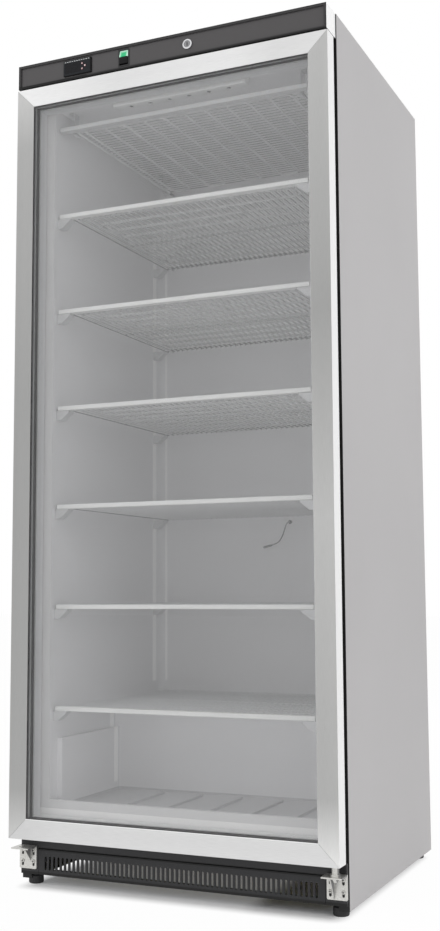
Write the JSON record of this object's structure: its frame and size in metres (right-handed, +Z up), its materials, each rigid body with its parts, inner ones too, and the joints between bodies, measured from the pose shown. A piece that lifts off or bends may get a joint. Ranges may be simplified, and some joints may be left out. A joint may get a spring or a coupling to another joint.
{
  "type": "upright display freezer",
  "caption": "Tall upright freezer with a framed, triple-glazed swing door, refrigerated wire shelves, a control canopy with a lock, and a slotted grille at the foot.",
  "frame": {"origin": "on the floor, under the middle of the whole freezer", "axes": "+X to the right seen from the front, +Y from the door to the back, +Z up"},
  "size_m": [0.777, 0.712, 1.903],
  "materials": {
    "body_paint": "satin",
    "canopy_paint": "satin",
    "galvanised": "matte",
    "door_aluminium": "satin",
    "charcoal_paint": "satin",
    "fascia_plastic": "satin",
    "black_plastic": "matte",
    "grey_plastic": "satin",
    "white_plastic": "satin",
    "liner_plastic": "satin",
    "foam": "matte",
    "glazing": "gloss",
    "display_window": "gloss",
    "seal_rubber": "matte",
    "foot_rubber": "matte",
    "hinge_steel": "satin",
    "lock_chrome": "polished",
    "key_plastic": "satin",
    "rocker_plastic": "gloss",
    "shelf_white": "satin",
    "compressor_black": "satin",
    "copper": "satin",
    "bearing_plastic": "matte"
  },
  "bodies": {
    "cabinet": {"left_side_panel": "body_paint", "right_side_panel": "body_paint", "top_panel": "body_paint", "back_panel": "galvanised", "rear_vent_cover": "galvanised", "base_pan": "galvanised", "levelling_feet": "foot_rubber", "inner_liner": "liner_plastic", "foam_insulation": "foam", "base_front_frame": "charcoal_paint", "vent_grille": "charcoal_paint", "hinge_bracket_left": "hinge_steel", "hinge_bracket_right": "hinge_steel", "hinge_fasteners": "hinge_steel", "lower_hinge_pin": "hinge_steel", "canopy_shell": "canopy_paint", "canopy_fascia": "fascia_plastic", "top_hinge_plate": "hinge_steel", "thermostat_case": "black_plastic", "thermostat_window": "display_window", "switch_frame": "black_plastic", "lock_barrel": "lock_chrome", "shelf_trims": "shelf_white", "evaporator_brackets": "white_plastic", "led_bar": "white_plastic", "ceiling_evaporator": "shelf_white", "sensor_grommet": "black_plastic", "sensor_lead": "black_plastic", "sensor_bulb": "black_plastic", "compressor_mounts": "foot_rubber", "compressor": "compressor_black", "condenser": "galvanised", "fan_shroud": "galvanised", "fan_motor": "compressor_black", "filter_dryer": "copper", "refrigerant_lines": "copper", "cable_gland": "black_plastic", "evaporator_shelf_1": "shelf_white", "evaporator_shelf_2": "shelf_white", "evaporator_shelf_3": "shelf_white", "evaporator_shelf_4": "shelf_white", "evaporator_shelf_5": "shelf_white", "evaporator_shelf_6": "shelf_white"},
    "door": {"door_left_stile": "door_aluminium", "door_right_stile": "door_aluminium", "door_top_rail": "door_aluminium", "door_bottom_rail": "door_aluminium", "door_bushes": "bearing_plastic", "front_pane": "glazing", "middle_pane": "glazing", "rear_pane": "glazing", "glass_spacers": "black_plastic", "inner_door_frame": "grey_plastic", "door_gasket": "seal_rubber"},
    "lock": {"lock_plug": "lock_chrome"},
    "rocker": {"switch_rocker": "rocker_plastic"},
    "set_key": {"key_set": "key_plastic"},
    "up_key": {"key_up": "key_plastic"},
    "down_key": {"key_down": "key_plastic"},
    "fan": {"fan_blade": "black_plastic"}
  },
  "joints": [
    {"name": "door_hinge", "type": "hinge", "parent": "cabinet", "child": "door", "pos_m": [0.371, -0.331, 0.9765], "axis": [0, 0, 1], "range_deg": [0, 110]},
    {"name": "lock_turn", "type": "hinge", "parent": "cabinet", "child": "lock", "pos_m": [0.058, -0.34, 1.8745], "axis": [0, 1, 0], "range_deg": [0, 90]},
    {"name": "rocker_tilt", "type": "hinge", "parent": "cabinet", "child": "rocker", "pos_m": [-0.104, -0.344, 1.8745], "axis": [1, 0, 0], "range_deg": [0, 16]},
    {"name": "set_key_press", "type": "slide", "parent": "cabinet", "child": "set_key", "axis": [0, 1, 0], "range_m": [0, 0.001], "stiffness_N_per_m": 200, "springref_m": -0.001},
    {"name": "up_key_press", "type": "slide", "parent": "cabinet", "child": "up_key", "axis": [0, 1, 0], "range_m": [0, 0.001], "stiffness_N_per_m": 200, "springref_m": -0.001},
    {"name": "down_key_press", "type": "slide", "parent": "cabinet", "child": "down_key", "axis": [0, 1, 0], "range_m": [0, 0.001], "stiffness_N_per_m": 200, "springref_m": -0.001},
    {"name": "fan_spin", "type": "hinge", "parent": "cabinet", "child": "fan", "pos_m": [-0.2, 0.147, 0.1545], "axis": [0, 1, 0], "continuous": true}
  ]
}
